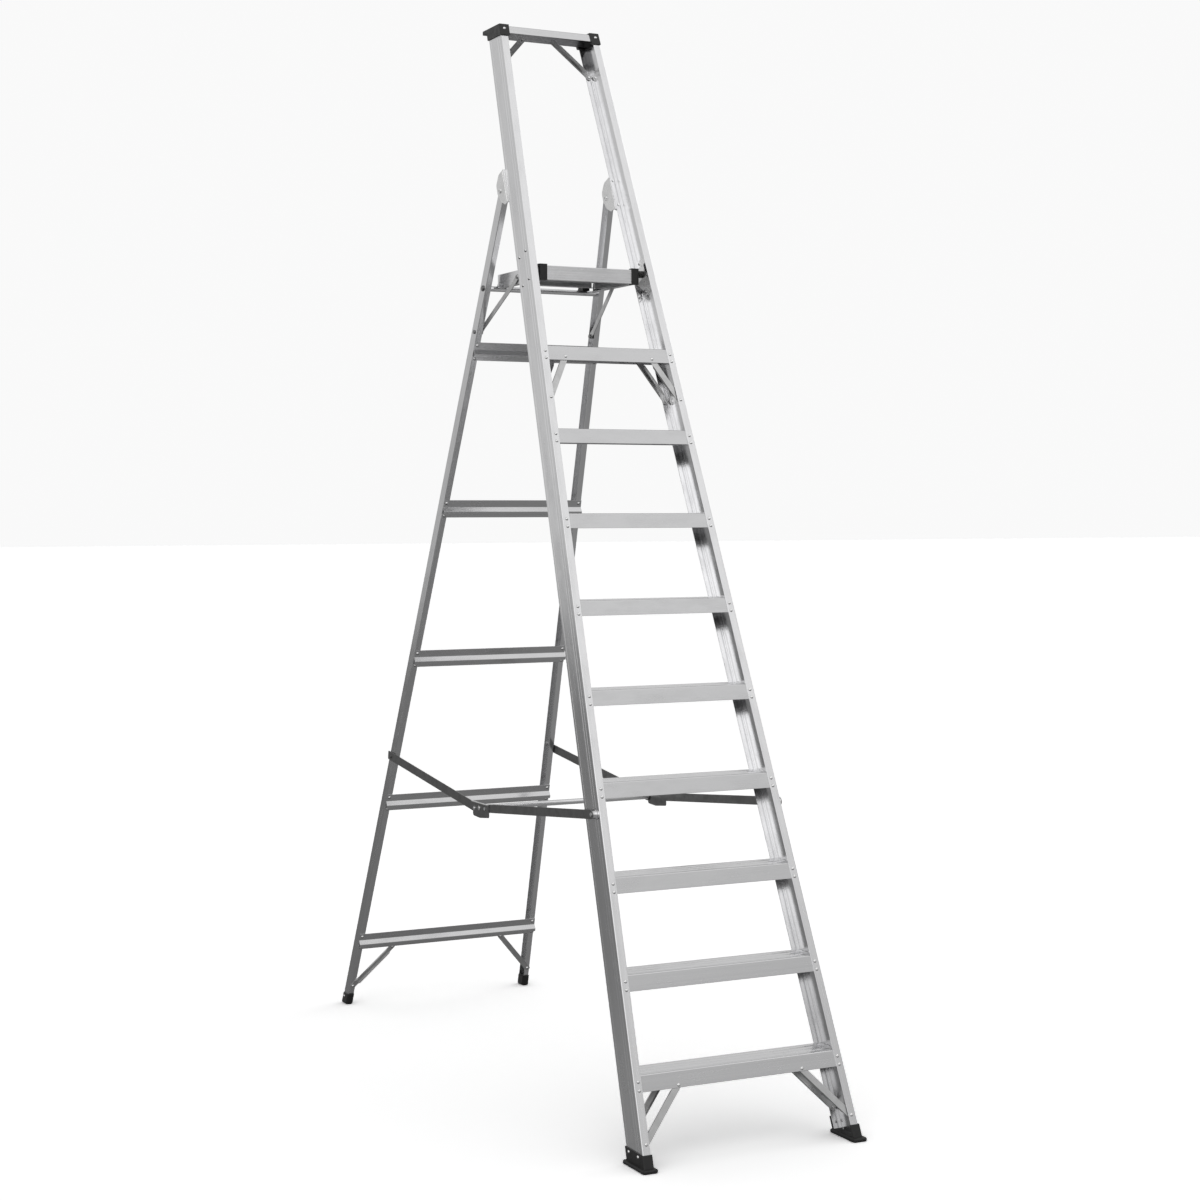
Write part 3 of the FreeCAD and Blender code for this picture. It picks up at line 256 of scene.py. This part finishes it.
def make_world():
    """Soft studio light, brighter high in the front and to the front left, before a near-white backdrop.

    The backdrop has its own grey for the camera, apart from the light that it gives to the ladder.
    """
    world = bpy.data.worlds.new("studio")
    bpy.context.scene.world = world
    world.use_nodes = True
    s = Shading(world.node_tree)
    direction = s.node("ShaderNodeTexCoord").outputs["Generated"]
    height = s.dot(direction, (0, 0, 1))
    front = s.ramp(s.dot(direction, (0, -1, 0)), *FRONT_SPREAD)
    front_left = s.ramp(s.dot(direction, Vector(FRONT_LEFT).normalized()), *FRONT_LEFT_SPREAD)
    front_light = s.ramp(height, *FRONT_LIGHT_HEIGHTS, *FRONT_LIGHT)
    more = s.math("MULTIPLY", front, s.math("SUBTRACT", front_light, STUDIO_LIGHT))
    light = s.math("ADD", STUDIO_LIGHT, more)
    light = s.math("ADD", light, s.math("MULTIPLY", front_left, FRONT_LEFT_LIGHT))
    seen = s.node("ShaderNodeLightPath").outputs["Is Camera Ray"]
    studio = s.node("ShaderNodeBackground", {"Color": (1, 1, 1, 1), "Strength": light})
    grey = (BACKDROP_GREY, BACKDROP_GREY, BACKDROP_GREY, 1)
    backdrop = s.node("ShaderNodeBackground", {"Color": grey, "Strength": 1.0})
    both = s.node("ShaderNodeMixShader", {"Fac": seen})
    s.feed(both.inputs[1], studio.outputs[0])
    s.feed(both.inputs[2], backdrop.outputs[0])
    s.node("ShaderNodeOutputWorld", {"Surface": both.outputs[0]})


def make_floor():
    """Wide pale floor, brighter to the camera than in the metal's reflections."""
    mesh = bpy.data.meshes.new("floor")
    corners = [(x * FLOOR_REACH, y * FLOOR_REACH, 0) for x, y in ((-1, -1), (1, -1), (1, 1), (-1, 1))]
    mesh.from_pydata(corners, [], [(0, 1, 2, 3)])
    floor = bpy.data.objects.new("floor", mesh)
    bpy.context.scene.collection.objects.link(floor)
    material, s = start_material("floor")
    seen = s.node("ShaderNodeLightPath").outputs["Is Camera Ray"]
    place = s.node("ShaderNodeTexCoord").outputs["Object"]
    reflected = s.ramp(s.dot(place, (0, 1, 0)), *FLOOR_REFLECTED_Y, *FLOOR_REFLECTED)
    shade = s.math("ADD", reflected, s.math("MULTIPLY", seen, s.math("SUBTRACT", FLOOR_GREY, reflected)))
    s.output(s.node("ShaderNodeBsdfDiffuse", {"Color": s.grey(shade)}))
    mesh.materials.append(material)


def make_key_light():
    """One large softbox, high on the right, for gentle shadows."""
    data = bpy.data.lights.new("softbox", "AREA")
    data.shape = "RECTANGLE"
    data.size = SOFTBOX_WIDTH
    data.size_y = SOFTBOX_HEIGHT
    data.energy = SOFTBOX_WATTS
    lamp = bpy.data.objects.new("softbox", data)
    bpy.context.scene.collection.objects.link(lamp)
    place = Vector(SOFTBOX_PLACE)
    aim = Vector(SOFTBOX_TARGET) - place
    lamp.location = place
    lamp.rotation_mode = "QUATERNION"
    lamp.rotation_quaternion = aim.to_track_quat("-Z", "Y")


# ---------------------------------------------------------------- materials

def lengthwise(s, along, scales):
    """Object coordinates turned so that X runs along the piece, then scaled on each axis."""
    along = Vector(along).normalized()
    side = along.cross((0, 1, 0)) if abs(along.y) < 0.9 else along.cross((0, 0, 1))
    side.normalize()
    turn = Matrix((along, side, along.cross(side))).transposed()
    where = s.node("ShaderNodeTexCoord").outputs["Object"]
    settings = {"Vector": where, "Rotation": turn.to_euler(), "Scale": [1 / k for k in scales]}
    return s.node("ShaderNodeMapping", settings, vector_type="TEXTURE").outputs[0]


def extruded_metal(name, along, shade=0.86, roughness=0.17, wear=1.0, upper=None, top_shade=None, inner=None,
                   flutes=None):
    """Mill-finish aluminium: fine lines along the extrusion, faint bands, handling marks.

    wear scales the lines, bands and marks. upper = (shade, low z, high z) blends from shade at low z to
    another at high z: painted shade, darker low down. top_shade is a painted highlight: the shade of the
    faces that look upward. inner = (direction, start, low factor, low z, high z) paints shade on what lies
    past start in that direction, most at low z. flutes = (direction, centres, change) paints a highlight
    (change above zero) or shade (below zero) on the shallow flutes at these distances in that direction.
    """
    material, s = start_material(name)
    lines = s.noise(lengthwise(s, along, LINE_FEATURES), 1.0, 4.0, 0.6)
    bands = s.noise(lengthwise(s, along, BAND_FEATURES), 1.0, 2.0, 0.5)
    marks = s.noise(lengthwise(s, along, MARK_FEATURES), 1.0, 5.0, 0.62)
    tone = s.math("ADD", s.spread(lines, -LINE_SHADE, LINE_SHADE), s.spread(bands, -BAND_SHADE, BAND_SHADE))
    tone = s.math("ADD", tone, s.ramp(marks, *MARK_SHADE_SPAN, *MARK_SHADES))
    tone = s.math("MULTIPLY", tone, wear)
    coordinates = s.node("ShaderNodeTexCoord").outputs
    height = s.dot(coordinates["Object"], (0, 0, 1))
    # Painted shade by height.
    if upper:
        tone = s.math("ADD", tone, s.ramp(height, upper[1], upper[2], shade, upper[0]))
    # Painted highlight on faces that look upward.
    elif top_shade:
        facing = s.dot(coordinates["Normal"], (0, 0, 1))
        tone = s.math("ADD", tone, s.ramp(facing, *UPWARD_SPAN, shade, top_shade))
    else:
        tone = s.math("ADD", tone, shade)
    # Painted shade inside, most at low z.
    if inner:
        direction, start, low_factor, low_z, high_z = inner
        inside = s.ramp(s.dot(coordinates["Object"], direction), start, start + INSIDE_EDGE)
        inner_painted_shade = s.ramp(height, low_z, high_z, 1.0 - low_factor, 0.0)
        tone = s.math("MULTIPLY", tone, s.math("SUBTRACT", 1.0, s.math("MULTIPLY", inside, inner_painted_shade)))
    # Painted light along the flutes: a highlight where change is above zero, shade where it is below.
    if flutes:
        direction, centres, change = flutes
        place = s.dot(coordinates["Object"], direction)
        for centre in centres:
            off = s.math("ABSOLUTE", s.math("SUBTRACT", place, centre))
            tone = s.math("ADD", tone, s.ramp(off, FLUTE_HALF_WIDTH, 2 * FLUTE_HALF_WIDTH, change, 0.0))
    blue = s.math("MULTIPLY", tone, BLUE_TINT)
    colour = s.node("ShaderNodeCombineColor", {"Red": tone, "Green": tone, "Blue": blue})
    marked = s.ramp(marks, *MARK_ROUGHNESS_SPAN, 0.0, MARK_ROUGHNESS)
    rough = s.math("ADD", s.spread(lines, -LINE_ROUGHNESS, LINE_ROUGHNESS), marked)
    rough = s.math("ADD", rough, roughness)
    s.surface(colour.outputs[0], rough, s.bump(lines, LINE_DEPTH * wear, 0.6))
    return material


def pressed_steel(name, shade, roughness, grain_depth=0.00005, proud=None):
    """Zinc-plated steel with cloudy plating and a fine grain.

    proud = (shade, x) gives another shade, here a painted highlight, to whatever stands further than x from
    the ladder's middle.
    """
    material, s = start_material(name)
    where = s.node("ShaderNodeTexCoord").outputs["Object"]
    cloud = s.noise(where, PLATING_CLOUDS, 4.0, 0.6)
    grain = s.noise(where, PLATING_GRAIN, 2.0, 0.6)
    tone = s.spread(cloud, -CLOUD_SHADE, CLOUD_SHADE)
    tone = s.math("ADD", tone, s.spread(grain, -GRAIN_SHADE, GRAIN_SHADE))
    if proud:
        out = s.math("ABSOLUTE", s.dot(where, (1, 0, 0)))
        tone = s.math("ADD", tone, s.ramp(out, proud[1], proud[1] + PLATE_EDGE, shade, proud[0]))
    else:
        tone = s.math("ADD", tone, shade)
    rough = s.math("ADD", s.spread(cloud, *CLOUD_ROUGHNESS), roughness)
    s.surface(s.grey(tone), rough, s.bump(grain, grain_depth, 0.5))
    return material


def rivet_metal(name):
    """Rivet domes, darker away from their bright side, as the photo's light shows them."""
    material, s = start_material(name)
    coordinates = s.node("ShaderNodeTexCoord").outputs
    cloud = s.noise(coordinates["Object"], RIVET_CLOUDS, 4.0, 0.6)
    # Painted highlight on each dome's side facing the light, painted shade on the side away from it.
    facing = s.dot(coordinates["Normal"], RIVET_HIGHLIGHT_SIDE)
    tone = s.spread(cloud, -CLOUD_SHADE, CLOUD_SHADE)
    tone = s.math("ADD", tone, s.ramp(facing, *RIVET_FACING, *RIVET_PAINTED_LIGHT))
    s.surface(s.grey(tone), s.spread(cloud, *RIVET_ROUGHNESS))
    return material


def moulded_black(name, shade=0.018, roughness=0.42, grain_depth=0.00012):
    """Black moulded plastic or rubber with a fine grain and dusty patches."""
    material, s = start_material(name)
    where = s.node("ShaderNodeTexCoord").outputs["Object"]
    grain = s.noise(where, MOULDING_GRAIN, 2.0, 0.5)
    dust = s.noise(where, MOULDING_DUST, 5.0, 0.65)
    tone = s.math("ADD", s.ramp(dust, *DUST_SHADE_SPAN, 0.0, DUST_SHADE), shade)
    rough = s.math("ADD", s.ramp(dust, *DUST_ROUGHNESS_SPAN, *DUST_ROUGHNESS), roughness)
    s.surface(s.grey(tone), rough, s.bump(grain, grain_depth, 0.7), metallic=0.0)
    return material


def stile_direction(lean, flare, side):
    """Along a stile, upwards; side is 1 on the right and -1 on the left."""
    return Vector((-flare * side, lean, 1.0))


def stile_metal(name, along, side):
    """Front stile. The right one, whose inside shows to the camera, gets painted shade inside and at its
    foot.
    """
    deep = Vector((0, 1, -FRONT_LEAN)).normalized()
    front = deep.dot((0, FRONT_FOOT_Y, 0))
    centres = [front + flute for flute in FLUTES]
    material = "aluminium_stile_" + name
    if side < 0:
        return extruded_metal(material, along, wear=0.6, flutes=(deep, centres, LEFT_FLUTE_HIGHLIGHT))
    inner = (deep, front + FLANGE_THICKNESS, *RIGHT_INSIDE_PAINTED_SHADE)
    flutes = (deep, centres, RIGHT_FLUTE_SHADE)
    return extruded_metal(material, along, RIGHT_FOOT_PAINTED_SHADE, wear=0.6, upper=RIGHT_UPPER, inner=inner,
                          flutes=flutes)


def node_metals():
    """Materials for the CAD nodes whose finish or painted light and shade differs from the rest of their
    slot.
    """
    metals = {
        "fascia": extruded_metal("aluminium_fascia", (1, 0, 0), 0.90, 0.15),
        "deck": extruded_metal("aluminium_deck", (1, 0, 0), 0.92, 0.30),
        "deck_side": extruded_metal("aluminium_deck_side", (0, 1, 0), 0.90),
        "tube": extruded_metal("aluminium_tube", (1, 0, 0), 0.86, 0.14),
        "guard": extruded_metal("aluminium_guard", (1, 0, 0), 0.72, wear=0.5),
    }
    by_node = {
        "platform_fascia": metals["fascia"], "platform_deck": metals["deck"], "catch_tube": metals["tube"],
        "platform_rear_bar": metals["deck"], "platform_side_left": metals["deck_side"],
        "platform_side_right": metals["deck_side"], "spreader_rod": metals["tube"],
        "guardrail_bar": metals["guard"],
    }
    for name, side in (("right", 1), ("left", -1)):
        front = stile_direction(FRONT_LEAN, FRONT_FLARE, side)
        rear = stile_direction(REAR_LEAN, REAR_FLARE, side)
        by_node["stile_" + name] = stile_metal(name, front, side)
        # Painted shade on the rear stiles, darker low down and on the left.
        low, high = REAR_STILE_PAINTED_SHADES[name]
        upper = (high, *REAR_STILE_BLEND)
        metal = extruded_metal("aluminium_rear_stile_" + name, rear, low, wear=0.4, upper=upper)
        by_node["rear_stile_" + name] = metal
    return by_node


def paint_nodes():
    """Gives each CAD node its own material, or else the material of its slot."""
    by_slot = {
        "zinc_plated_steel": pressed_steel("zinc_steel", 0.62, 0.3),
        "rivet_alloy": rivet_metal("rivet_metal"),
        "black_plastic": moulded_black("black_plastic"),
        "black_rubber": moulded_black("black_rubber", 0.014, 0.55, 0.0002),
        # The cross pieces' upward faces get a painted highlight.
        "mill_aluminium": extruded_metal("aluminium_cross", (1, 0, 0), 0.66, wear=0.3, top_shade=0.88),
    }
    by_node = node_metals()
    dark = pressed_steel("dark_steel", 0.27, 0.33)
    bright = pressed_steel("bright_steel", 0.92, 0.26, 0.00001)
    for name in ("spreader_front_arm", "spreader_rear_arm", "pivot_bracket", "platform_bracket"):
        for side in ("_left", "_right"):
            by_node[name + side] = dark if name.startswith("spreader") else bright
    # Painted highlight on the hinge plates' folded lips and pin heads.
    plate_face = abs(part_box("spreader_hinge_plates")[1][0]) - PLATE_HIGHLIGHT_DEPTH
    by_node["spreader_hinge_plates"] = pressed_steel("hinge_steel", 0.27, 0.33, proud=(1.0, plate_face))
    by_node["spreader_front_pins"] = bright
    by_node["top_pivot_pins"] = bright
    by_node["tube_end_plugs"] = dark
    by_node["stay_foot_pins"] = dark
    slots = {part["node"]: part["material_slot"] for part in frame["record"]["subparts"]}
    for name, piece in frame["nodes"].items():
        material = by_node.get(name, by_slot[slots[name]])
        for slot in piece.material_slots:
            slot.material = material


make_camera()
make_world()
make_floor()
make_key_light()
paint_nodes()
bpy.context.scene.view_settings.view_transform = "Standard"
